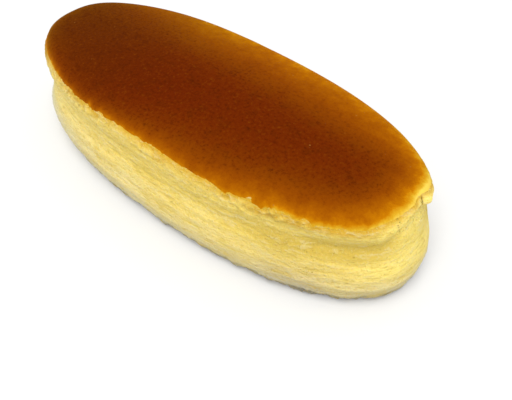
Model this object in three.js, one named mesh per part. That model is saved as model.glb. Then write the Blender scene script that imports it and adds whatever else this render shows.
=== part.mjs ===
// Japanese souffle cheesecake, baked whole in a deep oval mould and turned out upright.
// It is one soft solid: a flat base with a rounded foot, a gently bulging side, a crease where
// the slack rim has sagged over the side, a rolled rim with one split at the blunt end, and a
// low crown. Millimetres, +Z up, the length along X, the origin at the middle of the base.
import * as THREE from 'three';
import { ParametricGeometry } from 'three/addons/geometries/ParametricGeometry.js';
import { mergeVertices } from 'three/addons/utils/BufferGeometryUtils.js';

const { clamp, degToRad, lerp, radToDeg, smoothstep } = THREE.MathUtils;

// Plan: an oval a little fuller than an ellipse, and slightly wider at its -X end.
const HALF_LENGTH = 105;
const HALF_WIDTH = 45.5;
const OVAL_POWER = 2.27;
const OVAL_TAPER = -0.025;

// Upright section, with insets measured inwards from the bulge of the side. A share is a part
// of the foot's inset and height, or of the waist's inset and the height up to the waist.
const FOOT_INSET = 5.4;
const FOOT_HEIGHT = 9.5;
const FOOT_TOP_INSET = 0.4;
const FOOT_ROUND_SHARE = { inset: 0.36, height: 0.3 };
const BULGE_HEIGHT = 15;
const MID_SIDE_SHARE = { inset: 0.45, height: 0.5 };
const WAIST_INSET = 3.3;
const WAIST_HEIGHT = 30;
const WAIST_APPROACH = 4;
const WAIST_APPROACH_SHARE = 0.88;
const RIM_INSET = 3.1;
const RIM_HEIGHT = 43;
const LIP_ABOVE_WAIST = 5.6;

// The crown rises from a ring that settled further in than the rim, and joins the rim smoothly.
const CROWN_RISE = 4;
const SETTLED_INSET = 11;
const RIM_GRIP_RING = 0.7;

// The waist is drawn in further round the -X end.
const TAIL_WAIST_INSET = 5;
const TAIL_SHARPNESS = 3;

// The slack rim sags low along the front of the +X end, where the waist sharpens to a crease.
// Towards the tip the lip thins and the crease climbs. Bearings are in degrees from +X.
const SAG_FROM = -42;
const SAG_TO = 14;
const SAG_MARGIN = 24;
const CREASE_DEPTH = 1.6;
const THIN_LIP_BEARING = -54;
const THIN_LIP_HALF_WIDTH = 8;
const THIN_LIP_LIFT = 4;
const THIN_LIP_SQUEEZE = 0.9;
const THIN_LIP_EASING = 0.6;
const TIP_FROM = -3;
const TIP_TO = 16;
const TIP_MARGIN = 20;
const TIP_LIFT = 8.3;
const TIP_FOOT_INSET = 4.2;
const TIP_LIP_INSET = 2.4;
const TIP_WAIST_INSET = 3.2;
const TIP_LIP_ABOVE_CREASE = 1.9;

// A lobe of the thin lip is pushed out at the tip, beside a short split.
const LOBE_BEARING = 12;
const LOBE_HALF_WIDTH = 9;
const LOBE_PUSH = 1.2;
const SPLIT_BEARING = 2;
const SPLIT_HALF_WIDTH = 2.2;
const SPLIT_DEPTH = 1.6;

// Low waves that oven and mould leave in the side, in plan, and in the rim, in height: each has
// a height in millimetres, a number of crests round the cake and the bearing of one crest.
const SIDE_WAVES = [
  { height: 0.5, crests: 4, bearing: 60 },
  { height: 0.3, crests: 2, bearing: 105 },
];
const RIM_WAVES = [
  { height: 0.25, crests: 2, bearing: 10 },
  { height: 0.2, crests: 7, bearing: 9 },
];
const FOOT_WAVE_SHARE = 0.6;

const SEGMENTS_ROUND = 120;
const ROWS_PER_SPAN = 2;
const BASE_RINGS = [0, 0.55];
const CROWN_RINGS = [0.93, 0.8, 0.62, 0.42, 0.21, 0];
const ROLL_LEANS = [35, 65, 86];
const SPANS_UP_TO_LIP = 7;

// A smooth hump of height 1 at the centre.
function hump(value, centre, halfWidth) {
  return Math.exp(-(((value - centre) / halfWidth) ** 2));
}

// 1 between two bearings, falling smoothly to 0 over the given margin outside them.
function stretch(bearing, from, to, margin) {
  return smoothstep(bearing, from - margin, from) * (1 - smoothstep(bearing, to, to + margin));
}

// Signed power, which bends a sine or cosine into the fuller oval.
function signedPower(value, power) {
  return Math.sign(value) * Math.abs(value) ** power;
}

// A point of the plan outline at an angle, with the outward direction there.
function outline(angle) {
  const power = 2 / OVAL_POWER;
  const x = HALF_LENGTH * signedPower(Math.cos(angle), power);
  const y = HALF_WIDTH * signedPower(Math.sin(angle), power);
  const steepness = OVAL_POWER - 1;
  const outward = new THREE.Vector2(
    signedPower(x / HALF_LENGTH, steepness) / HALF_LENGTH,
    signedPower(y / HALF_WIDTH, steepness) / HALF_WIDTH,
  ).normalize();
  return { point: new THREE.Vector2(x, y * (1 + (OVAL_TAPER * x) / HALF_LENGTH)), outward };
}

// The sum of some low waves at an angle.
function waveAt(waves, angle) {
  let total = 0;
  for (const { height, crests, bearing } of waves) {
    total += height * Math.cos(crests * (angle - degToRad(bearing)));
  }
  return total;
}

// The side at one bearing, from the edge of the base to the inner edge of the rolled rim, as a
// curve through points of inset and height.
function sideSection(angle) {
  const bearing = radToDeg(Math.atan2(Math.sin(angle), Math.cos(angle)));
  const sag = stretch(bearing, SAG_FROM, SAG_TO, SAG_MARGIN);
  const tip = stretch(bearing, TIP_FROM, TIP_TO, TIP_MARGIN);
  const thin = hump(bearing, THIN_LIP_BEARING, THIN_LIP_HALF_WIDTH);
  const tail = Math.max(0, -Math.cos(angle)) ** TAIL_SHARPNESS;
  const wave = waveAt(SIDE_WAVES, angle);

  const footInset = lerp(FOOT_INSET, TIP_FOOT_INSET, tip);
  const waistHeight = WAIST_HEIGHT + THIN_LIP_LIFT * thin + TIP_LIFT * tip;
  const waistInset = WAIST_INSET + TIP_WAIST_INSET * tip + TAIL_WAIST_INSET * tail;
  const creaseInset = waistInset + CREASE_DEPTH * sag * (1 - THIN_LIP_EASING * thin);
  const lipAbove = lerp(LIP_ABOVE_WAIST, TIP_LIP_ABOVE_CREASE, tip) - THIN_LIP_SQUEEZE * thin;
  const lipHeight = waistHeight + lipAbove;
  const lobe = LOBE_PUSH * hump(bearing, LOBE_BEARING, LOBE_HALF_WIDTH);
  const split = SPLIT_DEPTH * hump(bearing, SPLIT_BEARING, SPLIT_HALF_WIDTH);
  const lipInset = RIM_INSET + TIP_LIP_INSET * tip - lobe + split;
  const roll = RIM_HEIGHT + waveAt(RIM_WAVES, angle) - lipHeight;

  const points = [
    [footInset, 0],
    [FOOT_ROUND_SHARE.inset * footInset, FOOT_ROUND_SHARE.height * FOOT_HEIGHT],
    [FOOT_TOP_INSET - FOOT_WAVE_SHARE * wave, FOOT_HEIGHT],
    [-wave, BULGE_HEIGHT],
    [MID_SIDE_SHARE.inset * waistInset - wave, lerp(BULGE_HEIGHT, waistHeight, MID_SIDE_SHARE.height)],
    [WAIST_APPROACH_SHARE * waistInset - wave, waistHeight - WAIST_APPROACH],
    [creaseInset, waistHeight],
    [lipInset, lipHeight],
  ];
  for (const lean of ROLL_LEANS) {
    const turn = degToRad(lean);
    points.push([lipInset + roll * (1 - Math.cos(turn)), lipHeight + roll * Math.sin(turn)]);
  }
  return new THREE.SplineCurve(points.map(([inset, height]) => new THREE.Vector2(inset, height)));
}

const SIDE_SPANS = SPANS_UP_TO_LIP + ROLL_LEANS.length;
const SIDE_ROWS = SIDE_SPANS * ROWS_PER_SPAN;
const STATIONS = BASE_RINGS.length + SIDE_ROWS + 1 + CROWN_RINGS.length;

// One point of the skin: u runs round the cake and v from the middle of the base, up the side
// and over the rim, to the middle of the crown.
function skin(u, v, target) {
  const angle = u * 2 * Math.PI;
  const station = Math.round(v * (STATIONS - 1));
  const row = clamp(station - BASE_RINGS.length, 0, SIDE_ROWS);
  const { point, outward } = outline(angle);
  const side = sideSection(angle).getPoint(row / SIDE_ROWS);
  const edge = point.clone().addScaledVector(outward, -side.x);
  if (station < BASE_RINGS.length) {
    edge.multiplyScalar(BASE_RINGS[station]);
    target.set(edge.x, edge.y, 0);
    return;
  }
  const ring = CROWN_RINGS[station - BASE_RINGS.length - SIDE_ROWS - 1] ?? 1;
  const grip = smoothstep(ring, RIM_GRIP_RING, 1);
  const settledEdge = point.clone().addScaledVector(outward, -SETTLED_INSET);
  settledEdge.lerp(edge, grip).multiplyScalar(ring);
  const rise = row === SIDE_ROWS ? CROWN_RISE * (1 - ring ** 2) : 0;
  target.set(settledEdge.x, settledEdge.y, lerp(RIM_HEIGHT, side.y, grip) + rise);
}

function makeCheesecake() {
  const geometry = new ParametricGeometry(skin, SEGMENTS_ROUND, STATIONS - 1);
  geometry.deleteAttribute('normal');
  geometry.deleteAttribute('uv');
  const sponge = new THREE.MeshStandardMaterial({ color: 0xecd06e, roughness: 0.85, metalness: 0 });
  const cheesecake = new THREE.Mesh(mergeVertices(geometry), sponge);
  cheesecake.name = 'cheesecake';
  return cheesecake;
}

const cake = new THREE.Group();
cake.add(makeCheesecake());

export default cake;
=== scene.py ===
import random
from math import atan2, degrees, exp, hypot, pi, radians

import bpy
from mathutils import Euler, Matrix, Vector, noise
from mathutils.kdtree import KDTree


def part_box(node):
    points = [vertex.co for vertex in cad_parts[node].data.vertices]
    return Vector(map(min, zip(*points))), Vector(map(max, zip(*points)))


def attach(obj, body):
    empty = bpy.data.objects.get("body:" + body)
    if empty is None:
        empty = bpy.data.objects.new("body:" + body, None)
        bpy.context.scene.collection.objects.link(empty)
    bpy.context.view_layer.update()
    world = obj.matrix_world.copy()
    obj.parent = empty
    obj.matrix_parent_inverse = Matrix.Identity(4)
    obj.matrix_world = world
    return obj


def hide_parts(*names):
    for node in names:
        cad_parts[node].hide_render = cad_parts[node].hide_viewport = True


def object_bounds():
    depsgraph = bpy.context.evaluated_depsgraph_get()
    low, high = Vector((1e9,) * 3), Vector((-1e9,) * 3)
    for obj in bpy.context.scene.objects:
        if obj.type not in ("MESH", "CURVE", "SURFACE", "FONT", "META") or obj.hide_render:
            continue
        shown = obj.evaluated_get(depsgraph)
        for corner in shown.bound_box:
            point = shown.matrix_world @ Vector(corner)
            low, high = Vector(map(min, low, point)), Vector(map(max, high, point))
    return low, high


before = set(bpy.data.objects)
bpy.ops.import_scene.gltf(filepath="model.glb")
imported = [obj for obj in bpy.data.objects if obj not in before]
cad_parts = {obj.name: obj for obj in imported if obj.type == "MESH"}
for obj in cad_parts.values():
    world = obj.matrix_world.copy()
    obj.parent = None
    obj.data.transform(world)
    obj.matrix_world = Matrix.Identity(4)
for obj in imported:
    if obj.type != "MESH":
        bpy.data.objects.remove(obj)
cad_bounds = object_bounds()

# Camera: a close view from above the front corner of the +X end, looking down the length of
# the cake. It aims at a point on the table and is turned a little about its own line of sight.
CAMERA_AZIMUTH = 42.42
CAMERA_ELEVATION = 46.75
CAMERA_ROLL = -0.78
CAMERA_DISTANCE = 0.26137
CAMERA_AIM = Vector((0.02887, -0.00608, 0))
CAMERA_LENS = 41.54
CAMERA_SENSOR = 36

camera_data = bpy.data.cameras.new("camera")
camera_data.sensor_width = CAMERA_SENSOR
camera_data.lens = CAMERA_LENS
camera_data.clip_start = 0.01
camera = bpy.data.objects.new("camera", camera_data)
bpy.context.scene.collection.objects.link(camera)
bpy.context.scene.camera = camera
camera_turn = Euler((radians(90 - CAMERA_ELEVATION), 0, radians(CAMERA_AZIMUTH))).to_matrix()
camera_turn @= Matrix.Rotation(radians(CAMERA_ROLL), 3, "Z")
camera_back = camera_turn @ Vector((0, 0, 1))
camera.matrix_world = Matrix.Translation(CAMERA_AIM + CAMERA_DISTANCE * camera_back) @ camera_turn.to_4x4()

# Studio: a plain white table, a large soft light overhead towards the front, and an even white
# surround. Colours are shown as they are, with no film curve.
TABLE_SIZE = 6
SURROUND_STRENGTH = 0.85
SOFTBOX_SIZE = 1.6
SOFTBOX_PLACE = Vector((0.46, -0.8, 2))
SOFTBOX_WATTS = 48

bpy.context.scene.view_settings.view_transform = "Standard"

table_finish = bpy.data.materials.new("white_table")
table_finish.use_nodes = True
table_shader = table_finish.node_tree.nodes["Principled BSDF"]
table_shader.inputs["Base Color"].default_value = (0.66, 0.66, 0.66, 1)
table_shader.inputs["Roughness"].default_value = 0.9
table_shader.inputs["Specular IOR Level"].default_value = 0.1
bpy.ops.mesh.primitive_plane_add(size=TABLE_SIZE, location=(0, 0, 0))
table = bpy.context.object
table.name = "table"
table.data.materials.append(table_finish)

surround = bpy.data.worlds.new("surround")
surround.use_nodes = True
surround.node_tree.nodes["Background"].inputs["Color"].default_value = (1, 1, 1, 1)
surround.node_tree.nodes["Background"].inputs["Strength"].default_value = SURROUND_STRENGTH
bpy.context.scene.world = surround

softbox_data = bpy.data.lights.new("softbox", "AREA")
softbox_data.shape = "SQUARE"
softbox_data.size = SOFTBOX_SIZE
softbox_data.energy = SOFTBOX_WATTS
softbox = bpy.data.objects.new("softbox", softbox_data)
bpy.context.scene.collection.objects.link(softbox)
softbox.location = SOFTBOX_PLACE
softbox.rotation_euler = SOFTBOX_PLACE.to_track_quat("Z", "Y").to_euler()

# Sponge: the soft pale body of the cake, baked against a paper lining that left it with faint
# lengthwise streaks. It starts as a copy of the solid, is refined round the side, and is then
# embossed, each relief held to the band of the side that it belongs to.
MERGE_GAP = 0.00001
QUAD_ANGLE = radians(60)
RING_EDGE_SHARE = 0.8
SIDE_TOP = 0.0418
SIDE_FOOT = 0.0002
SPONGE_LEVELS = 2
LEAST_WEIGHT = 0.001
half_length, half_width = cad_bounds[1][0], cad_bounds[1][1]


def pick_out(piece):
    """Only this piece is selected and active."""
    bpy.ops.object.select_all(action="DESELECT")
    piece.select_set(True)
    bpy.context.view_layer.objects.active = piece


def finish_with(piece, kind, **settings):
    """One modifier, set and applied."""
    pick_out(piece)
    modifier = piece.modifiers.new(kind.lower(), kind)
    for name, value in settings.items():
        setattr(modifier, name, value)
    bpy.ops.object.modifier_apply(modifier=modifier.name)


def smooth_step(value, low, high):
    """0 below low, 1 above high, and a smooth rise between them. High may be the lower one."""
    share = min(max((value - low) / (high - low), 0), 1)
    return share * share * (3 - 2 * share)


def hump(value, centre, half_width):
    """A smooth hump of height 1 at the centre."""
    return exp(-(((value - centre) / half_width) ** 2))


def bearing_of(place):
    """Bearing round the cake in degrees from +X, from -180 to 180."""
    return degrees(atan2(place.y, place.x))


def weigh(piece, name, share):
    """A vertex group whose weight at each point comes from the point's place."""
    group = piece.vertex_groups.new(name=name)
    for vertex in piece.data.vertices:
        weight = share(vertex.co)
        if weight > LEAST_WEIGHT:
            group.add([vertex.index], min(weight, 1), "REPLACE")


def emboss(piece, group, depth, grain, stretch=(1, 1, 1), direction="NORMAL", middle=0.5, detail=2):
    """Relief of the given depth from a cloudy pattern of the given grain, within a group."""
    pattern = bpy.data.textures.new(group, "CLOUDS")
    pattern.noise_scale = 1
    pattern.noise_depth = detail
    ruler = bpy.data.objects.new("ruler", None)
    bpy.context.scene.collection.objects.link(ruler)
    ruler.scale = [grain * share for share in stretch]
    bpy.context.view_layer.update()
    finish_with(piece, "DISPLACE", vertex_group=group, strength=depth, mid_level=middle, texture=pattern,
                texture_coords="OBJECT", texture_coords_object=ruler, direction=direction)
    bpy.data.objects.remove(ruler)


sponge = bpy.data.objects.new("sponge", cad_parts["cheesecake"].data.copy())
bpy.context.scene.collection.objects.link(sponge)
pick_out(sponge)
bpy.ops.mesh.customdata_custom_splitnormals_clear()
bpy.ops.object.mode_set(mode="EDIT")
bpy.ops.mesh.select_all(action="SELECT")
bpy.ops.mesh.remove_doubles(threshold=MERGE_GAP)
bpy.ops.mesh.tris_convert_to_quads(face_threshold=QUAD_ANGLE, shape_threshold=QUAD_ANGLE,
                                   topology_influence=1)
bpy.ops.mesh.select_all(action="DESELECT")
bpy.ops.mesh.select_mode(type="EDGE")
bpy.ops.object.mode_set(mode="OBJECT")
for edge in sponge.data.edges:
    start, end = (sponge.data.vertices[index].co for index in edge.vertices)
    middle = (start + end) / 2
    along = (end - start).normalized()
    round_the_cake = Vector((-middle.y / half_width**2, middle.x / half_length**2, 0)).normalized()
    on_side = SIDE_FOOT < max(start.z, end.z) and min(start.z, end.z) < SIDE_TOP
    edge.select = on_side and abs(along.dot(round_the_cake)) > RING_EDGE_SHARE
bpy.ops.object.mode_set(mode="EDIT")
bpy.ops.mesh.subdivide(number_cuts=1, smoothness=1)
bpy.ops.mesh.select_all(action="DESELECT")
bpy.ops.object.mode_set(mode="OBJECT")
finish_with(sponge, "SUBSURF", levels=SPONGE_LEVELS, render_levels=SPONGE_LEVELS)
sponge.data.shade_smooth()

# The -X end slackened as it cooled: its side hangs straighter, with a softer waist. At the tip of
# the +X end the pushed-out lobe of the thin lip reaches as far as the split. Here and below, a
# pair of values is where a step starts and ends, or the centre and half width of a hump.
TAIL_SPAN = (0.55, 0.92)
TAIL_WAIST_FILL = 0.0028
TAIL_WAIST = (0.0292, 0.0042)
TAIL_BULGE_TRIM = 0.0017
TAIL_BULGE = (0.0195, 0.0055)
LOBE_FILL = 0.0011
LOBE_HEIGHT = (0.0402, 0.003)
LOBE_BEARING = (2.8, 1.5)


def tail_share(place):
    """0 along most of the cake, rising to 1 at the -X end."""
    return smooth_step(-place.x / half_length, *TAIL_SPAN)


weigh(sponge, "tail_waist", lambda p: hump(p.z, *TAIL_WAIST) * tail_share(p))
weigh(sponge, "tail_bulge", lambda p: hump(p.z, *TAIL_BULGE) * tail_share(p))
finish_with(sponge, "DISPLACE", vertex_group="tail_waist", strength=TAIL_WAIST_FILL, mid_level=0)
finish_with(sponge, "DISPLACE", vertex_group="tail_bulge", strength=-TAIL_BULGE_TRIM, mid_level=0)
weigh(sponge, "lobe", lambda p: hump(p.z, *LOBE_HEIGHT) * hump(bearing_of(p), *LOBE_BEARING))
finish_with(sponge, "DISPLACE", vertex_group="lobe", strength=LOBE_FILL, mid_level=0)

# Where the crust ends, as an inset from the oval that the cake fills in plan: part way up the
# rolled rim, lower round the -X end, along the far side and on the front of the +X end, and further
# in at the tip and the split. The edge wavers most where the lining pulled crumb away, and is held
# to a lowest inset.
OVAL_POWER = 2.27
MIDDLE_REACH = 0.3
CRUST_EDGE_INSET = 0.0053
LOWEST_EDGE_INSET = 0.0039
TAIL_EDGE_DROP = 0.0014
TAIL_EDGE_SPAN = (0.1, 0.4)
BACK_EDGE_DROP = 0.0013
BACK_EDGE_BEARINGS = (14, 26)
FRONT_EDGE_DROP = 0.0009
FRONT_EDGE_BEARINGS = (-50, -34)
FRONT_EDGE_END_BEARINGS = (-7, -14)
TIP_BARING = 0.0011
TIP_BARE_BEARING = (-3, 6)
SPLIT_BARING = 0.0016
SPLIT_BARE_BEARING = (1.2, 1.8)
WAVER_LENGTH = 0.0045
WAVER_DEPTH = 0.0017
NIBBLE_LENGTH = 0.0019
NIBBLE_DEPTH = 0.0007
TAIL_CALM = 0.55
TAIL_CALM_SPAN = (0.1, 0.45)
LEAST_TORN = 0.12
LEAST_RAGGED = 0.3

# The stretches where the rim is torn and the foot is ragged: bearing, half width and how much.
TORN_STRETCHES = [(-34, 12, 1), (-136, 22, 1), (-82, 9, 0.7), (100, 20, 0.4), (150, 12, 0.4)]
RAGGED_STRETCHES = [(-24, 17, 1), (-90, 30, 0.5), (120, 30, 1)]


def inset_of(place):
    """How far a point lies inside the plan oval."""
    x_share = abs(place.x) / half_length
    y_share = abs(place.y) / half_width
    reach = (x_share**OVAL_POWER + y_share**OVAL_POWER) ** (1 / OVAL_POWER)
    if reach < MIDDLE_REACH:
        return half_width
    steepness = OVAL_POWER - 1
    slope = hypot(x_share**steepness / half_length, y_share**steepness / half_width)
    return (1 - reach) * reach**steepness / slope


def share_of(place, stretches, least):
    """From least to 1, by how near a point's bearing is to the given stretches."""
    bearing = bearing_of(place)
    total = sum(much * hump(bearing, centre, reach) for centre, reach, much in stretches)
    return least + (1 - least) * min(total, 1)


def torn_share(place):
    """How torn the rim is at the bearing of a point: most where the lining pulled crumb away."""
    return share_of(place, TORN_STRETCHES, LEAST_TORN)


def ragged_share(place):
    """How ragged the foot is at the bearing of a point."""
    return share_of(place, RAGGED_STRETCHES, LEAST_RAGGED)


def inside_crust_edge(place):
    """How far a point lies inside the edge of the crust, in plan."""
    bearing = bearing_of(place)
    tailward = -place.x / half_length
    front = smooth_step(bearing, *FRONT_EDGE_BEARINGS) * smooth_step(bearing, *FRONT_EDGE_END_BEARINGS)
    drop = max(TAIL_EDGE_DROP * smooth_step(tailward, *TAIL_EDGE_SPAN),
               BACK_EDGE_DROP * smooth_step(bearing, *BACK_EDGE_BEARINGS), FRONT_EDGE_DROP * front)
    baring = TIP_BARING * hump(bearing, *TIP_BARE_BEARING)
    baring += SPLIT_BARING * hump(bearing, *SPLIT_BARE_BEARING)
    level = Vector((place.x, place.y, 0))
    waver = noise.noise(level / WAVER_LENGTH) * WAVER_DEPTH
    waver += noise.noise(level / NIBBLE_LENGTH) * NIBBLE_DEPTH
    waver *= torn_share(place) * (1 - TAIL_CALM * smooth_step(tailward, *TAIL_CALM_SPAN))
    return inset_of(place) - max(CRUST_EDGE_INSET - drop + baring - waver, LOWEST_EDGE_INSET)


bare_sponge = bpy.data.objects.new("bare_sponge", sponge.data.copy())
bpy.context.scene.collection.objects.link(bare_sponge)

# Where each relief of the sponge lies: heights, bearings, and distances inside the edge of the
# crust, which are negative below it.
STREAKS_FROM = (0.004, 0.012)
STREAKS_TO = (0.037, 0.033)
TORN_FROM = (0.033, 0.037)
TORN_BELOW_EDGE = (0.0002, -0.001)
RAGGED_FROM = (0.0001, 0.0012)
RAGGED_TO = (0.008, 0.0035)
LIFTED_TO = (0.006, 0)
LIFTED_BEARING = (-24, 14)
CRUMB_FROM = (0.0002, 0.001)
CRUMB_BELOW_EDGE = (0.0003, -0.0008)
SMOOTH_TIP = 0.6
SMOOTH_TIP_SPAN = (0.86, 0.94)


def crumb_share(place):
    """Fine crumb covers all the bare sponge, and is fainter at the smooth tip of the +X end."""
    smooth = SMOOTH_TIP * smooth_step(place.x / half_length, *SMOOTH_TIP_SPAN)
    bare = smooth_step(inside_crust_edge(place), *CRUMB_BELOW_EDGE)
    return smooth_step(place.z, *CRUMB_FROM) * bare * (1 - smooth)


weigh(sponge, "streaks", lambda p: smooth_step(p.z, *STREAKS_FROM) * smooth_step(p.z, *STREAKS_TO))
weigh(sponge, "torn_rim", lambda p: smooth_step(p.z, *TORN_FROM) * torn_share(p)
      * smooth_step(inside_crust_edge(p), *TORN_BELOW_EDGE))
weigh(sponge, "ragged_foot", lambda p: smooth_step(p.z, *RAGGED_FROM) * smooth_step(p.z, *RAGGED_TO)
      * ragged_share(p))
weigh(sponge, "lifted_foot", lambda p: smooth_step(p.z, *LIFTED_TO) * hump(bearing_of(p), *LIFTED_BEARING))
weigh(sponge, "crumb", crumb_share)
emboss(sponge, "streaks", depth=0.001, grain=0.0032, stretch=(10, 10, 1))
emboss(sponge, "torn_rim", depth=0.003, grain=0.0022, stretch=(1.2, 1.2, 1), detail=1)
emboss(sponge, "ragged_foot", depth=0.0034, grain=0.0034, stretch=(1.5, 1.5, 1), detail=2)
emboss(sponge, "lifted_foot", depth=0.006, grain=0.005, stretch=(1, 1, 4), detail=1, direction="Z",
       middle=0.38)
emboss(sponge, "crumb", depth=0.0007, grain=0.0015, detail=1)
for vertex in sponge.data.vertices:
    vertex.co.z = max(vertex.co.z, 0)

# The split beside the pushed-out lobe of the thin lip is a narrow crack, from just inside the lip
# out over it and down past the crease.
SPLIT_INNER = Vector((0.0970, 0.0032))
SPLIT_OUTER = Vector((0.1015, 0.0012))
SPLIT_FOOT = 0.0368
SPLIT_HALF_WIDTH = 0.00035
SPLIT_SHADE_HALF_WIDTH = 0.00025
SPLIT_DEPTH = 0.0008
SPLIT_ONSET = 0.001
split_run = (SPLIT_OUTER - SPLIT_INNER).normalized()


def in_split(place):
    """1 in the middle of the split, falling to 0 beside it."""
    from_start = place.xy - SPLIT_INNER
    along = from_start.dot(split_run)
    across = from_start.cross(split_run)
    if along < 0 or place.z < SPLIT_FOOT:
        return 0
    return hump(across, 0, SPLIT_HALF_WIDTH) * smooth_step(along, 0, SPLIT_ONSET)


weigh(sponge, "split", in_split)
finish_with(sponge, "DISPLACE", vertex_group="split", strength=-SPLIT_DEPTH, mid_level=0)

below_crust = sponge.data.attributes.new("below_crust", "FLOAT", "POINT")
for vertex in sponge.data.vertices:
    below_crust.data[vertex.index].value = -inside_crust_edge(vertex.co)


class Value:
    """A number that varies over a surface. Sums on it in Python add Math nodes."""

    def __init__(self, finish, socket):
        self.finish = finish
        self.socket = socket

    def math(self, operation, *terms):
        inputs = dict(enumerate(terms))
        return self.finish.node("ShaderNodeMath", {"operation": operation}, inputs)

    def __add__(self, other):
        return self.math("ADD", self, other)

    def __sub__(self, other):
        return self.math("SUBTRACT", self, other)

    def __rsub__(self, other):
        return self.math("SUBTRACT", other, self)

    def __mul__(self, other):
        return self.math("MULTIPLY", self, other)

    def __truediv__(self, other):
        return self.math("DIVIDE", self, other)

    def fading(self):
        """e to minus this value: 1 at 0, and falling away as it grows."""
        return self.math("EXPONENT", self * -1)

    def step(self, low, high):
        """0 at low, 1 at high, with a smooth rise between."""
        settings = {"interpolation_type": "SMOOTHSTEP"}
        return self.finish.node("ShaderNodeMapRange", settings, {0: self, 1: low, 2: high})


class Finish:
    """A procedural material, put together node by node round its Principled shader."""

    def __init__(self, name):
        self.material = bpy.data.materials.new(name)
        self.material.use_nodes = True
        self.tree = self.material.node_tree
        self.shader = self.tree.nodes["Principled BSDF"]

    def fill(self, node, inputs):
        for name, value in inputs.items():
            if isinstance(value, Value):
                self.tree.links.new(value.socket, node.inputs[name])
            else:
                node.inputs[name].default_value = value

    def node(self, kind, settings=None, inputs=None, output=0, stops=None):
        node = self.tree.nodes.new(kind)
        for name, value in (settings or {}).items():
            setattr(node, name, value)
        if stops:
            ramp = node.color_ramp
            while len(ramp.elements) < len(stops):
                ramp.elements.new(1)
            for element, (place, colour) in zip(ramp.elements, stops):
                element.position = place
                element.color = (*colour, 1)
        self.fill(node, inputs or {})
        return Value(self, node.outputs[output])

    def place(self, scale=(1, 1, 1)):
        """Place on the piece in metres, with each axis scaled."""
        here = self.node("ShaderNodeTexCoord", output="Object")
        return self.node("ShaderNodeMapping", {"vector_type": "POINT"}, {"Vector": here, "Scale": scale})

    def along(self, axis):
        """Place on the piece along one axis, 0 to 2 for X to Z."""
        return self.node("ShaderNodeSeparateXYZ", inputs={0: self.place()}, output=axis)

    def noise(self, grain, stretch=(1, 1, 1), detail=2, roughness=0.5):
        """Soft noise from 0 to 1, in patches of about the given size in metres."""
        inputs = {"Vector": self.place([1 / (grain * share) for share in stretch]), "Scale": 1,
                  "Detail": detail, "Roughness": roughness}
        return self.node("ShaderNodeTexNoise", inputs=inputs)

    def pits(self, grain):
        """Distance to the nearest of many scattered points, in grains."""
        inputs = {"Vector": self.place([1 / grain] * 3), "Scale": 1}
        return self.node("ShaderNodeTexVoronoi", {"feature": "F1"}, inputs)

    def attribute(self, name):
        return self.node("ShaderNodeAttribute", {"attribute_name": name}, output="Fac")

    def ramp(self, value, stops):
        """Colour through stops, which start at 0 and end at the largest value."""
        span = stops[-1][0]
        stops = [(place / span, colour) for place, colour in stops]
        return self.node("ShaderNodeValToRGB", inputs={0: value / span}, stops=stops)

    def mix(self, share, first, second, blend="MIX"):
        """Colour between two colours."""
        settings = {"data_type": "RGBA", "blend_type": blend}
        first, second = (c if isinstance(c, Value) else (*c, 1) for c in (first, second))
        return self.node("ShaderNodeMix", settings, {0: share, 6: first, 7: second}, output=2)

    def bump(self, height, depth):
        """Normal for a relief of the given depth in metres."""
        return self.node("ShaderNodeBump", inputs={"Height": height, "Distance": depth, "Strength": 1})


# From the foot to the rim the sponge goes from a greyish cream, through pale cream, to a deeper
# egg yellow. The dark grey at the foot is partly the sponge's paler base and partly painted shade,
# with painted bluish bounce light, under the rounded foot.
SPONGE_BY_HEIGHT = [
    (0.0, (0.36, 0.335, 0.24)),
    (0.1, (0.37, 0.345, 0.25)),
    (0.17, (0.5, 0.455, 0.29)),
    (0.32, (0.67, 0.555, 0.245)),
    (0.48, (0.67, 0.53, 0.17)),
    (0.65, (0.65, 0.49, 0.11)),
    (1.0, (0.62, 0.465, 0.11)),
]
SPONGE_CREAM = (0.62, 0.53, 0.25)
SPONGE_GREY_SHADE = (0.5, 0.49, 0.37)
SPONGE_DEEP = (0.54, 0.39, 0.07)
SPONGE_TIP_LIGHT = (0.84, 0.68, 0.18)
SPONGE_SUNNY = (0.68, 0.5, 0.09)
SPONGE_CREASE_SHADE = (0.47, 0.33, 0.05)
SPONGE_GOLD = (0.5, 0.28, 0.014)
SPONGE_FOOT_SHADOW = (0.09, 0.082, 0.06)
SPONGE_PATCH_SHADE = (0.87, 0.86, 0.93)
SPONGE_TOASTED = (0.36, 0.18, 0.01)
SPONGE_SPLIT = (0.2, 0.12, 0.025)
COLOUR_SPAN = 0.0415

# Where each tint lies, from none to full: a length is a place along X, a width one along Y, a
# height one up from the table, and a reach a distance below the edge of the crust. A top is the
# height, and an end the length, at which a tint stops again, from none back to full. A share is
# how much of the tint there is where it is full.
STREAK_WANDER = 0.014
PATCH_WANDER = 0.01
STEADY_FOOT = (0, 0.009)
CREAM_LENGTH = (0.02, -0.1)
CREAM_SHARE = 0.4
SUNNY_LENGTH = (0.03, 0.075)
SUNNY_HEIGHT = (0.012, 0.017)
SUNNY_TOP = (0.029, 0.025)
SUNNY_SHARE = 0.35
TIP_LIGHT_LENGTH = (0.088, 0.101)
TIP_LIGHT_HEIGHT = (0.012, 0.02)
TIP_LIGHT_SHARE = 0.7
DEEPENING = (-0.05, 0.3)
DEEPENING_SHARE = 0.35
CREASE_HEIGHT = (0.022, 0.027)
CREASE_TOP = (0.034, 0.03)
CREASE_LENGTH = (0.03, 0.07)
CREASE_END = (0.104, 0.095)
CREASE_SHADE_SHARE = 0.8
FOOT_SHADOW_HEIGHT = (0.0058, 0.0043)
FOOT_SHADOW_LENGTH = (-0.06, -0.02)
FOOT_SHADOW_SHARE = 0.5
FOOT_SHADOW_EXTRA_LENGTH = (0.045, 0.06)
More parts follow.
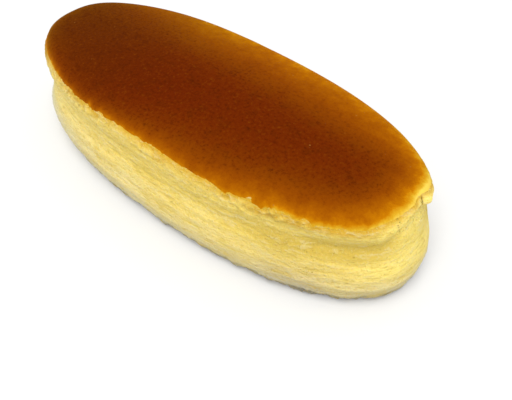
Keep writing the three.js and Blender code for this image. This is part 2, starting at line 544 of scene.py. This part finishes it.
FOOT_SHADOW_EXTRA_END = (0.096, 0.088)
FOOT_SHADOW_EXTRA_SHARE = 0.1
FOOT_SHADOW_PATCHES = (0.4, 0.55)
FOOT_SHADOW_LEAST = 0.5
GILT_REACH = (0.0022, -0.0002)
GILT_HEIGHT = (0.0355, 0.038)
GILT_LENGTH = (-0.1, -0.03)
GILT_TAIL_SHARE = 0.65
GREY_SHADE_LENGTH = (-0.02, -0.07)
GREY_SHADE_HEIGHT = (0.026, 0.012)
GREY_SHADE_SHARE = 0.6
GREY_SHADE_TAIL_LENGTH = (-0.065, -0.1)
GREY_SHADE_TAIL_HEIGHT = (0.031, 0.021)
GREY_SHADE_TAIL_SHARE = 0.3
GREY_SHADE_WIDTH = (0.02, -0.02)
GREY_SHADE_FAR_SHARE = 0.5
GREY_SHADE_FOOT = (0.005, 0.015)
GREY_SHADE_FOOT_SHARE = 0.25
TAIL_FOOT_LENGTH = (-0.045, -0.08)
TAIL_FOOT_HEIGHT = (0.015, 0.006)
TAIL_FOOT_SHARE = 0.65
PATCH_SHADE_LENGTH = (0.054, 0.066)
PATCH_SHADE_END = (0.09, 0.078)
PATCH_SHADE_HEIGHT = (0.025, 0.017)
PATCH_SHADE_SHARE = 0.8
TOASTED_REACH = (0.002, 0.0004)
TOASTED_HEIGHT = (0.0352, 0.0382)
TOASTED_LENGTH = (-0.07, -0.083)

sponge_finish = Finish("sponge")
height = sponge_finish.along(2)
length = sponge_finish.along(0)
width = sponge_finish.along(1)
below_edge = sponge_finish.attribute("below_crust")
streak = sponge_finish.noise(grain=0.004, stretch=(9, 9, 1), detail=3)
patch = sponge_finish.noise(grain=0.018, stretch=(2, 2, 1))
wander = ((streak - 0.5) * STREAK_WANDER + (patch - 0.5) * PATCH_WANDER) * height.step(*STEADY_FOOT)
colour = sponge_finish.ramp((height + wander) / COLOUR_SPAN, SPONGE_BY_HEIGHT)
colour = sponge_finish.mix(length.step(*CREAM_LENGTH) * CREAM_SHARE, colour, SPONGE_CREAM)
sunny = length.step(*SUNNY_LENGTH) * height.step(*SUNNY_HEIGHT) * height.step(*SUNNY_TOP)
colour = sponge_finish.mix(sunny * SUNNY_SHARE, colour, SPONGE_SUNNY)
# Painted light: the +X tip is painted brighter above the foot, a painted pool of light on its belly.
tip_light = length.step(*TIP_LIGHT_LENGTH) * height.step(*TIP_LIGHT_HEIGHT)
colour = sponge_finish.mix(tip_light * TIP_LIGHT_SHARE, colour, SPONGE_TIP_LIGHT)
deepening = (patch - streak).step(*DEEPENING)
colour = sponge_finish.mix(deepening * DEEPENING_SHARE, colour, SPONGE_DEEP)
# Painted shade: the crease under the rim along the +X half is painted darker, where shade falls under the
# lip.
crease_shade = height.step(*CREASE_HEIGHT) * height.step(*CREASE_TOP)
crease_shade = crease_shade * length.step(*CREASE_LENGTH) * length.step(*CREASE_END)
colour = sponge_finish.mix(crease_shade * CREASE_SHADE_SHARE, colour, SPONGE_CREASE_SHADE)
# Painted shadow: a dark band low on the foot, in patches, stands in for the contact shadow under the
# rounded foot. It fades out towards the -X end and is a little darker part way along the +X half.
foot_shadow = length.step(*FOOT_SHADOW_EXTRA_LENGTH) * length.step(*FOOT_SHADOW_EXTRA_END) * FOOT_SHADOW_EXTRA_SHARE
foot_shadow = (foot_shadow + length.step(*FOOT_SHADOW_LENGTH) * FOOT_SHADOW_SHARE) * height.step(*FOOT_SHADOW_HEIGHT)
foot_shadow = foot_shadow * (sponge_finish.noise(grain=0.005).step(*FOOT_SHADOW_PATCHES) * (1 - FOOT_SHADOW_LEAST) + FOOT_SHADOW_LEAST)
colour = sponge_finish.mix(foot_shadow, colour, SPONGE_FOOT_SHADOW)
gilding = below_edge.step(*GILT_REACH) * height.step(*GILT_HEIGHT)
gilding = gilding * (length.step(*GILT_LENGTH) * (1 - GILT_TAIL_SHARE) + GILT_TAIL_SHARE)
colour = sponge_finish.mix(gilding, colour, SPONGE_GOLD)

# Its surface: fine grain, small pores in patches, and clumps of crumb drawn out along the side.
# Raised crumb is painted paler, as painted light on the tops, and sunken crumb and pores are painted
# deeper, as painted shade in the hollows.
PORE_EDGE = (0.28, 0.05)
PORE_PATCHES = (0.45, 0.65)
RAISED_GRAIN = (0.5, 0.75)
RAISED_GRAIN_SHARE = 0.35
SUNKEN_GRAIN = (0.5, 0.25)
RAISED_CLUMP = (0.52, 0.68)
RAISED_CLUMP_SHARE = 0.4
SUNKEN_CLUMP = (0.47, 0.3)
HOLLOW_SHADE_SHARE = 0.6
CLUMP_RELIEF = 1.5
PORE_RELIEF = 0.8
SPONGE_RELIEF = 0.0005

grain = sponge_finish.noise(grain=0.0009, detail=2, roughness=0.6)
porous = sponge_finish.noise(grain=0.006).step(*PORE_PATCHES)
pores = sponge_finish.pits(grain=0.0013).step(*PORE_EDGE) * porous
clump = sponge_finish.noise(grain=0.0017, stretch=(4, 4, 1), detail=2, roughness=0.55)
raised_light = grain.step(*RAISED_GRAIN) * RAISED_GRAIN_SHARE + clump.step(*RAISED_CLUMP) * RAISED_CLUMP_SHARE
colour = sponge_finish.mix(raised_light, colour, SPONGE_CREAM)
hollow_shade = grain.step(*SUNKEN_GRAIN) * HOLLOW_SHADE_SHARE + pores * HOLLOW_SHADE_SHARE
colour = sponge_finish.mix(hollow_shade, colour, SPONGE_DEEP)
colour = sponge_finish.mix(clump.step(*SUNKEN_CLUMP) * HOLLOW_SHADE_SHARE, colour, SPONGE_DEEP)

# Tints that lie over the crumb: painted grey shade and cream low on the -X end, a patch of painted
# shade low down towards the +X end, a toasted rim just below the crust of the -X end, and the
# painted shade in the split.
# Painted shade: the -X end is painted greyer low down, more on the near side, for the shade and bluish
# bounce light there.
grey_shade = length.step(*GREY_SHADE_LENGTH) * height.step(*GREY_SHADE_HEIGHT) * GREY_SHADE_SHARE
grey_shade = grey_shade + length.step(*GREY_SHADE_TAIL_LENGTH) * height.step(*GREY_SHADE_TAIL_HEIGHT) * GREY_SHADE_TAIL_SHARE
grey_shade = grey_shade * (width.step(*GREY_SHADE_WIDTH) * (1 - GREY_SHADE_FAR_SHARE) + GREY_SHADE_FAR_SHARE)
grey_shade = grey_shade * (height.step(*GREY_SHADE_FOOT) * (1 - GREY_SHADE_FOOT_SHARE) + GREY_SHADE_FOOT_SHARE)
colour = sponge_finish.mix(grey_shade, colour, SPONGE_GREY_SHADE)
tail_foot = length.step(*TAIL_FOOT_LENGTH) * height.step(*TAIL_FOOT_HEIGHT)
colour = sponge_finish.mix(tail_foot * TAIL_FOOT_SHARE, colour, SPONGE_CREAM)
# Painted shade: a patch low on the side part way along the +X half is painted darker.
patch_shade = length.step(*PATCH_SHADE_LENGTH) * length.step(*PATCH_SHADE_END) * height.step(*PATCH_SHADE_HEIGHT)
colour = sponge_finish.mix(patch_shade * PATCH_SHADE_SHARE, colour, SPONGE_PATCH_SHADE, blend="MULTIPLY")
toasting = below_edge.step(*TOASTED_REACH) * height.step(*TOASTED_HEIGHT) * length.step(*TOASTED_LENGTH)
colour = sponge_finish.mix(toasting, colour, SPONGE_TOASTED)
from_split = (width - SPLIT_INNER.y) * split_run.x - (length - SPLIT_INNER.x) * split_run.y
shade = (from_split * from_split / SPLIT_SHADE_HALF_WIDTH**2).fading()
shade = shade * height.step(SPLIT_FOOT - SPLIT_ONSET, SPLIT_FOOT)
shade = shade * length.step(SPLIT_INNER.x, SPLIT_INNER.x + SPLIT_ONSET)
colour = sponge_finish.mix(shade, colour, SPONGE_SPLIT)
sponge_finish.fill(sponge_finish.shader, {
    "Base Color": colour,
    "Roughness": grain * 0.3 + 0.65,
    "Specular IOR Level": 0.12,
    "Subsurface Weight": 0.25,
    "Subsurface Radius": (1, 0.65, 0.25),
    "Subsurface Scale": 0.004,
    "Normal": sponge_finish.bump(grain + clump * CLUMP_RELIEF - pores * PORE_RELIEF, depth=SPONGE_RELIEF),
})
sponge.data.materials.clear()
sponge.data.materials.append(sponge_finish.material)

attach(sponge, "root")
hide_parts("cheesecake")

# Crust: the thin browned skin on the crown, darkest away from the rim. It is a fine grid laid
# on the sponge, which sinks into the rim past its edge, so that the edge comes out torn.
CRUST_GRAIN = 0.0005
CRUST_DROP = 0.005
CRUST_OVERLAP = 0.0016
CRUST_LIFT = 0.00035
CRUST_LIFT_SPAN = 0.0015
CRUST_SINK = 0.001
CRUST_SINK_SPAN = 0.0009
CRUST_FOOT = 0.0367
CRUST_SKIRT = 0.0003
CRUST_TORN = (0.003, 0)
CRUST_CROWN = (0.002, 0.008)
EDGE_SAMPLES = 6
EDGE_SPREAD = 0.0006

cake_low, cake_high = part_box("cheesecake")
cake_size = cake_high - cake_low
bpy.ops.object.select_all(action="DESELECT")
bpy.ops.mesh.primitive_grid_add(
    x_subdivisions=round(cake_size.x / CRUST_GRAIN),
    y_subdivisions=round(cake_size.y / CRUST_GRAIN),
    size=1,
    location=(cake_low.x + cake_size.x / 2, cake_low.y + cake_size.y / 2, cake_high.z + CRUST_DROP),
)
crust = bpy.context.object
crust.name = "crust"
crust.scale = (cake_size.x, cake_size.y, 1)
bpy.ops.object.transform_apply(location=True, rotation=True, scale=True)
finish_with(crust, "SHRINKWRAP", target=bare_sponge, wrap_method="PROJECT", use_project_z=True,
            use_negative_direction=True, use_positive_direction=False)
bpy.data.objects.remove(bare_sponge)
bpy.ops.object.mode_set(mode="EDIT")
bpy.ops.mesh.select_mode(type="VERT")
bpy.ops.mesh.select_all(action="DESELECT")
bpy.ops.object.mode_set(mode="OBJECT")
for vertex in crust.data.vertices:
    off_the_rim = vertex.co.z < CRUST_FOOT or vertex.co.z > cake_high.z + CRUST_DROP / 2
    vertex.select = off_the_rim or inside_crust_edge(vertex.co) < -CRUST_OVERLAP
bpy.ops.object.mode_set(mode="EDIT")
bpy.ops.mesh.delete(type="VERT")
bpy.ops.object.mode_set(mode="OBJECT")

edge_points = [v.co.copy() for v in crust.data.vertices if abs(inside_crust_edge(v.co)) < CRUST_GRAIN / 2]
edge_tree = KDTree(len(edge_points))
for index, point in enumerate(edge_points):
    edge_tree.insert(point, index)
edge_tree.balance()
edge_distances = crust.data.attributes.new("from_edge", "FLOAT", "POINT")
for vertex in crust.data.vertices:
    nearest = [found[2] for found in edge_tree.find_n(vertex.co, EDGE_SAMPLES)]
    distance = max(sum(nearest) / EDGE_SAMPLES - EDGE_SPREAD, 0)
    edge_distances.data[vertex.index].value = distance if inside_crust_edge(vertex.co) > 0 else 0

weigh(crust, "lifted", lambda p: inside_crust_edge(p) / CRUST_LIFT_SPAN)
weigh(crust, "sunk", lambda p: -inside_crust_edge(p) / CRUST_SINK_SPAN)
weigh(crust, "torn_edge", lambda p: smooth_step(inside_crust_edge(p), *CRUST_TORN) * torn_share(p))
weigh(crust, "crown", lambda p: smooth_step(inside_crust_edge(p), *CRUST_CROWN))
finish_with(crust, "DISPLACE", vertex_group="lifted", strength=CRUST_LIFT, mid_level=0)
finish_with(crust, "DISPLACE", vertex_group="sunk", strength=-CRUST_SINK, mid_level=0)
emboss(crust, "torn_edge", depth=0.0006, grain=0.0035, stretch=(1.5, 1.5, 1), detail=0)
emboss(crust, "crown", depth=0.0006, grain=0.02, detail=1)

bpy.ops.object.mode_set(mode="EDIT")
bpy.ops.mesh.select_all(action="SELECT")
bpy.ops.mesh.region_to_loop()
bpy.ops.mesh.extrude_region_move(TRANSFORM_OT_translate={"value": (0, 0, -CRUST_SKIRT)})
bpy.ops.mesh.edge_face_add()
bpy.ops.mesh.select_all(action="DESELECT")
bpy.ops.object.mode_set(mode="OBJECT")
crust.data.shade_smooth()

CRUST_BROWN = (0.085, 0.0155, 0.0006)
CRUST_DARK = (0.06, 0.0085, 0.0005)
CRUST_LIGHT_FLECK = (0.16, 0.045, 0.002)
CRUST_DOT = (0.3, 0.12, 0.02)
CRUST_REDDER = (1, 0.6, 1)
CRUST_YELLOWER = (1, 1.2, 1)
CRUST_OLIVE = (1, 2.2, 1)
CRUST_PALEST = 1.55
CRUST_BY_PALENESS = [
    (0.0, CRUST_BROWN),
    (0.26, (0.136, 0.0243, 0.0006)),
    (0.5, (0.204, 0.0446, 0.0006)),
    (0.75, (0.289, 0.08, 0.0007)),
    (0.95, (0.391, 0.132, 0.0009)),
    (1.0, (0.43, 0.165, 0.002)),
    (1.25, (0.52, 0.29, 0.014)),
    (CRUST_PALEST, (0.68, 0.48, 0.07)),
]

# The crust is palest at its edge. The pale margin is narrow on the near side towards the -X end,
# widens towards the +X end, and is widest along the middle of the far side. A margin is how far
# in the paleness fades, and a gain or loss is what its length adds or takes away where it is full.
FAR_SIDE = (-0.015, 0.015)
NEAR_MARGIN = 0.0038
NEAR_MARGIN_GAIN = 0.007
NEAR_MARGIN_LENGTH = (-0.05, 0.03)
NEAR_PALENESS = 0.42
NEAR_GAIN = 0.5
NEAR_GAIN_LENGTH = (-0.05, 0.14)
NEAR_TIP_GAIN = 0.14
NEAR_TIP_LENGTH = (0.075, 0.09)
FRONT_LENGTH = (0.03, 0.055)
FRONT_END = (0.101, 0.092)
FRONT_GAIN = 0.08
RIM_LINE = 0.0008
RIM_LINE_PALENESS = 0.3
NARROW_MARGIN = 0.002
NARROW_TAIL_LENGTH = (-0.05, -0.078)
NARROW_TAIL_PALENESS = 0.3
NARROW_MIDDLE_LENGTH = (0.035, 0.005)
NARROW_MIDDLE_PALENESS = 0.19
FAR_MARGIN = 0.0045
FAR_MARGIN_GAIN = 0.012
FAR_MARGIN_LENGTH = (-0.105, -0.03)
FAR_MARGIN_LOSS = 0.0075
FAR_MARGIN_LOSS_LENGTH = (0.03, 0.1)
FAR_PALENESS = 0.25
FAR_GAIN = 0.48
FAR_GAIN_LENGTH = (-0.12, -0.02)
FAR_TIP_GAIN = 0.28
FAR_TIP_LENGTH = (0.02, 0.1)
FAR_FIELD_WIDTH = (-0.005, 0.03)
FAR_FIELD_END = (0.105, 0.06)
FAR_FIELD_LENGTH = (-0.06, -0.02)
FAR_FIELD_PALENESS = 0.15
FAR_FIELD_GAIN = 0.06
FAR_RIM_MARGIN = 0.004
FAR_RIM_LENGTH = (0.02, 0.06)
FAR_RIM_PALENESS = 0.07
FAR_RIM_GAIN = 0.12
FAR_MIDDLE_LENGTH = (-0.06, -0.01)
FAR_MIDDLE_PALENESS = 0.04
FAR_TIP_LINE_LENGTH = (0.088, 0.096)
FAR_TIP_LINE_PALENESS = 0.4
BODY_LENGTH = (-0.06, 0.02)
BODY_PALENESS = 0.045
TAIL_MARGIN = 0.004
TAIL_LENGTH = (-0.086, -0.1)
TAIL_PALENESS = 0.55
OLIVE_MARGIN = 0.006
OLIVE_LENGTH = (-0.065, -0.1)
REDDER_LENGTH = (-0.09, 0)
YELLOWER_LENGTH = (0.01, -0.05)

# How unevenly it browned, and where flecks and dots show, by paleness or by the noise itself.
MOTTLE_SWING = 0.75
CLOUD_SWING = 0.35
FLECK_SWING = 0.2
PALENESS_GAIN = 1.03
PALENESS_LIFT = 0.02
REDDER_WHERE = (0.34, 0.02)
OLIVE_WHERE = (0.9, 0.4)
DARK_FLECK = (0.5, 0.25)
DARK_FLECK_SHARE = 0.6
DARK_MOTTLE = (0.48, 0.7)
DARK_MOTTLE_SHARE = 0.35
DARK_WHERE = (0.7, 0.1)
LIGHT_FLECK = (0.55, 0.8)
LIGHT_FLECK_SHARE = 0.45
LIGHT_WHERE = (0.4, 0.15)
DOT_EDGE = (0.07, 0.04)
DOT_PATCHES = (0.55, 0.6)
DOT_SHARE = 0.6
CRUST_RELIEF = 0.0003

crust_finish = Finish("browned_crust")
length = crust_finish.along(0)
width = crust_finish.along(1)
from_edge = crust_finish.attribute("from_edge")


def fading_over(margin):
    """1 at the edge of the crust, fading inwards over a margin."""
    return (from_edge / margin).fading()


near_margin = length.step(*NEAR_MARGIN_LENGTH) * NEAR_MARGIN_GAIN + NEAR_MARGIN
near_edge = length.step(*NEAR_GAIN_LENGTH) * NEAR_GAIN + NEAR_PALENESS
near_edge += length.step(*NEAR_TIP_LENGTH) * NEAR_TIP_GAIN
front = length.step(*FRONT_LENGTH) * length.step(*FRONT_END)
near = fading_over(near_margin) * (near_edge + front * FRONT_GAIN)
near += fading_over(RIM_LINE) * (front * FRONT_GAIN + RIM_LINE_PALENESS)
narrow = length.step(*NARROW_TAIL_LENGTH) * NARROW_TAIL_PALENESS
narrow += length.step(*NARROW_MIDDLE_LENGTH) * NARROW_MIDDLE_PALENESS
near += fading_over(NARROW_MARGIN) * narrow

far_margin = length.step(*FAR_MARGIN_LENGTH) * FAR_MARGIN_GAIN + FAR_MARGIN
far_margin -= length.step(*FAR_MARGIN_LOSS_LENGTH) * FAR_MARGIN_LOSS
far_edge = length.step(*FAR_GAIN_LENGTH) * FAR_GAIN + FAR_PALENESS
far_edge += length.step(*FAR_TIP_LENGTH) * FAR_TIP_GAIN
far = fading_over(far_margin) * far_edge
far_field = length.step(*FAR_FIELD_LENGTH) * FAR_FIELD_GAIN + FAR_FIELD_PALENESS
far += width.step(*FAR_FIELD_WIDTH) * length.step(*FAR_FIELD_END) * far_field
far += fading_over(FAR_RIM_MARGIN) * (length.step(*FAR_RIM_LENGTH) * FAR_RIM_GAIN + FAR_RIM_PALENESS)
far += length.step(*FAR_MIDDLE_LENGTH) * FAR_MIDDLE_PALENESS
far += fading_over(NARROW_MARGIN) * length.step(*FAR_TIP_LINE_LENGTH) * FAR_TIP_LINE_PALENESS

mottle = crust_finish.noise(grain=0.005, detail=4, roughness=0.6)
cloud = crust_finish.noise(grain=0.03)
fleck = crust_finish.noise(grain=0.0013, detail=2, roughness=0.7)
far_side = width.step(*FAR_SIDE)
paleness = near * (1 - far_side) + far * far_side + length.step(*BODY_LENGTH) * BODY_PALENESS
paleness += fading_over(TAIL_MARGIN) * length.step(*TAIL_LENGTH) * TAIL_PALENESS
paleness = paleness * ((mottle - 0.5) * MOTTLE_SWING + (cloud - 0.5) * CLOUD_SWING + PALENESS_GAIN)
paleness += (fleck - 0.5) * FLECK_SWING + PALENESS_LIFT
colour = crust_finish.ramp(paleness, CRUST_BY_PALENESS)

# Over the browning: redder where it is darkest, except at the -X end; yellower on the far side of
# the -X half; olive at the edge of the -X end; and then dark and light flecks and a few pale dots.
redder = length.step(*REDDER_LENGTH) * paleness.step(*REDDER_WHERE)
colour = crust_finish.mix(redder, colour, CRUST_REDDER, blend="MULTIPLY")
yellower = far_side * length.step(*YELLOWER_LENGTH)
colour = crust_finish.mix(yellower, colour, CRUST_YELLOWER, blend="MULTIPLY")
olive = length.step(*OLIVE_LENGTH) * fading_over(OLIVE_MARGIN) * paleness.step(*OLIVE_WHERE)
colour = crust_finish.mix(olive, colour, CRUST_OLIVE, blend="MULTIPLY")
dark = fleck.step(*DARK_FLECK) * DARK_FLECK_SHARE + mottle.step(*DARK_MOTTLE) * DARK_MOTTLE_SHARE
colour = crust_finish.mix(dark * paleness.step(*DARK_WHERE), colour, CRUST_DARK)
light = fleck.step(*LIGHT_FLECK) * paleness.step(*LIGHT_WHERE) * LIGHT_FLECK_SHARE
colour = crust_finish.mix(light, colour, CRUST_LIGHT_FLECK)
dots = crust_finish.pits(grain=0.006).step(*DOT_EDGE) * crust_finish.noise(grain=0.01).step(*DOT_PATCHES)
colour = crust_finish.mix(dots * DOT_SHARE, colour, CRUST_DOT)
skin = crust_finish.noise(grain=0.0008, detail=3, roughness=0.65)
crust_finish.fill(crust_finish.shader, {
    "Base Color": colour,
    "Roughness": skin * 0.3 + 0.35,
    "Specular IOR Level": 0.002,
    "Normal": crust_finish.bump(skin, depth=CRUST_RELIEF),
})
crust.data.materials.clear()
crust.data.materials.append(crust_finish.material)

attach(crust, "root")
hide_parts("cheesecake")

# Torn crumbs: soft bits of sponge that the lining pulled loose and that still cling under the
# edge of the crust, along the foot and here and there up the side. One crumb is modelled, then
# copied, turned and flattened, and a few copies are much larger.
CRUMB_RADIUS = 0.0008
CRUMB_GRAIN = 0.0009
CRUMB_RELIEF = 0.0009
CRUMB_SINK = 0.65
LEAST_CRUMB_SIZE, MOST_CRUMB_SIZE = 0.5, 1.2
LARGE_CRUMB_RARITY = 6
LEAST_CRUMB_BREADTH, MOST_CRUMB_BREADTH = 0.6, 1
LEAST_CRUMB_HEIGHT, MOST_CRUMB_HEIGHT = 0.4, 0.7
RIM_CRUMBS = 130
FOOT_CRUMBS = 60
SIDE_CRUMBS = 16
CRUMB_SEED = 5
RIM_CRUMB_TORN_FROM = 0.15
RIM_CRUMB_BELOW = (0.0014, 0.0009)
RIM_CRUMB_LOWEST = 0.0345
FOOT_CRUMB_BEARING = (-24, 20)
FOOT_CRUMB_HEIGHT = (0.001, 0.0015)
FOOT_CRUMB_LOWEST = 0.0004
SIDE_CRUMB_LOWEST = 0.002
SIDE_CRUMB_HIGHEST = 0.034

bpy.ops.object.select_all(action="DESELECT")
bpy.ops.mesh.primitive_ico_sphere_add(subdivisions=2, radius=CRUMB_RADIUS, location=(0, 0, 0))
crumb = bpy.context.object
weigh(crumb, "whole", lambda p: 1)
emboss(crumb, "whole", depth=CRUMB_RELIEF, grain=CRUMB_GRAIN, detail=0)

chance = random.Random(CRUMB_SEED)


def crumb_sites(count, share):
    """Points of the sponge where crumbs cling, chosen by their share from 0 to 1."""
    sites = []
    while len(sites) < count:
        vertex = chance.choice(sponge.data.vertices)
        if chance.random() < share(vertex.co):
            sites.append(vertex)
    return sites


def rim_share(place):
    """Rim crumbs sit just under the crust where the rim is torn."""
    below = -inside_crust_edge(place)
    torn = torn_share(place) - RIM_CRUMB_TORN_FROM
    return torn * hump(below, *RIM_CRUMB_BELOW) * (place.z > RIM_CRUMB_LOWEST)


def foot_share(place):
    """Foot crumbs sit just above the table where the foot is ragged."""
    share = hump(bearing_of(place), *FOOT_CRUMB_BEARING) * hump(place.z, *FOOT_CRUMB_HEIGHT)
    return share * (place.z > FOOT_CRUMB_LOWEST)


def side_share(place):
    """A few crumbs sit anywhere up the side."""
    return SIDE_CRUMB_LOWEST < place.z < SIDE_CRUMB_HIGHEST


crumbs = []
for vertex in (crumb_sites(RIM_CRUMBS, rim_share) + crumb_sites(FOOT_CRUMBS, foot_share)
               + crumb_sites(SIDE_CRUMBS, side_share)):
    size = chance.uniform(LEAST_CRUMB_SIZE, MOST_CRUMB_SIZE) + chance.random() ** LARGE_CRUMB_RARITY
    breadth = size * chance.uniform(LEAST_CRUMB_BREADTH, MOST_CRUMB_BREADTH)
    tallness = size * chance.uniform(LEAST_CRUMB_HEIGHT, MOST_CRUMB_HEIGHT)
    flat = Matrix.Diagonal((size, breadth, tallness, 1))
    facing = vertex.normal.to_track_quat("Z", "Y").to_matrix().to_4x4()
    spin = Matrix.Rotation(chance.uniform(0, 2 * pi), 4, "Z")
    centre = vertex.co - vertex.normal * CRUMB_RADIUS * size * CRUMB_SINK
    copy = bpy.data.objects.new("crumb", crumb.data.copy())
    copy.data.transform(Matrix.Translation(centre) @ facing @ spin @ flat)
    bpy.context.scene.collection.objects.link(copy)
    crumbs.append(copy)
bpy.data.objects.remove(crumb)
bpy.ops.object.select_all(action="DESELECT")
for copy in crumbs:
    copy.select_set(True)
bpy.context.view_layer.objects.active = crumbs[0]
bpy.ops.object.join()
torn_crumbs = bpy.context.object
torn_crumbs.name = "torn_crumbs"
for vertex in torn_crumbs.data.vertices:
    vertex.co.z = max(vertex.co.z, 0)
torn_crumbs.data.shade_smooth()

CRUMB_CREAM = (0.54, 0.41, 0.13)
CRUMB_YELLOW = (0.48, 0.34, 0.07)
CRUMB_TONES = (0.35, 0.65)
CRUMB_SKIN_RELIEF = 0.0001

crumb_finish = Finish("torn_crumb")
tone = crumb_finish.noise(grain=0.002, detail=2)
grain = crumb_finish.noise(grain=0.0004, detail=2)
crumb_finish.fill(crumb_finish.shader, {
    "Base Color": crumb_finish.mix(tone.step(*CRUMB_TONES), CRUMB_CREAM, CRUMB_YELLOW),
    "Roughness": grain * 0.3 + 0.7,
    "Specular IOR Level": 0.1,
    "Subsurface Weight": 0.15,
    "Subsurface Radius": (1, 0.65, 0.25),
    "Subsurface Scale": 0.002,
    "Normal": crumb_finish.bump(grain, depth=CRUMB_SKIN_RELIEF),
})
torn_crumbs.data.materials.clear()
torn_crumbs.data.materials.append(crumb_finish.material)

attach(torn_crumbs, "root")
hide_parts("cheesecake")
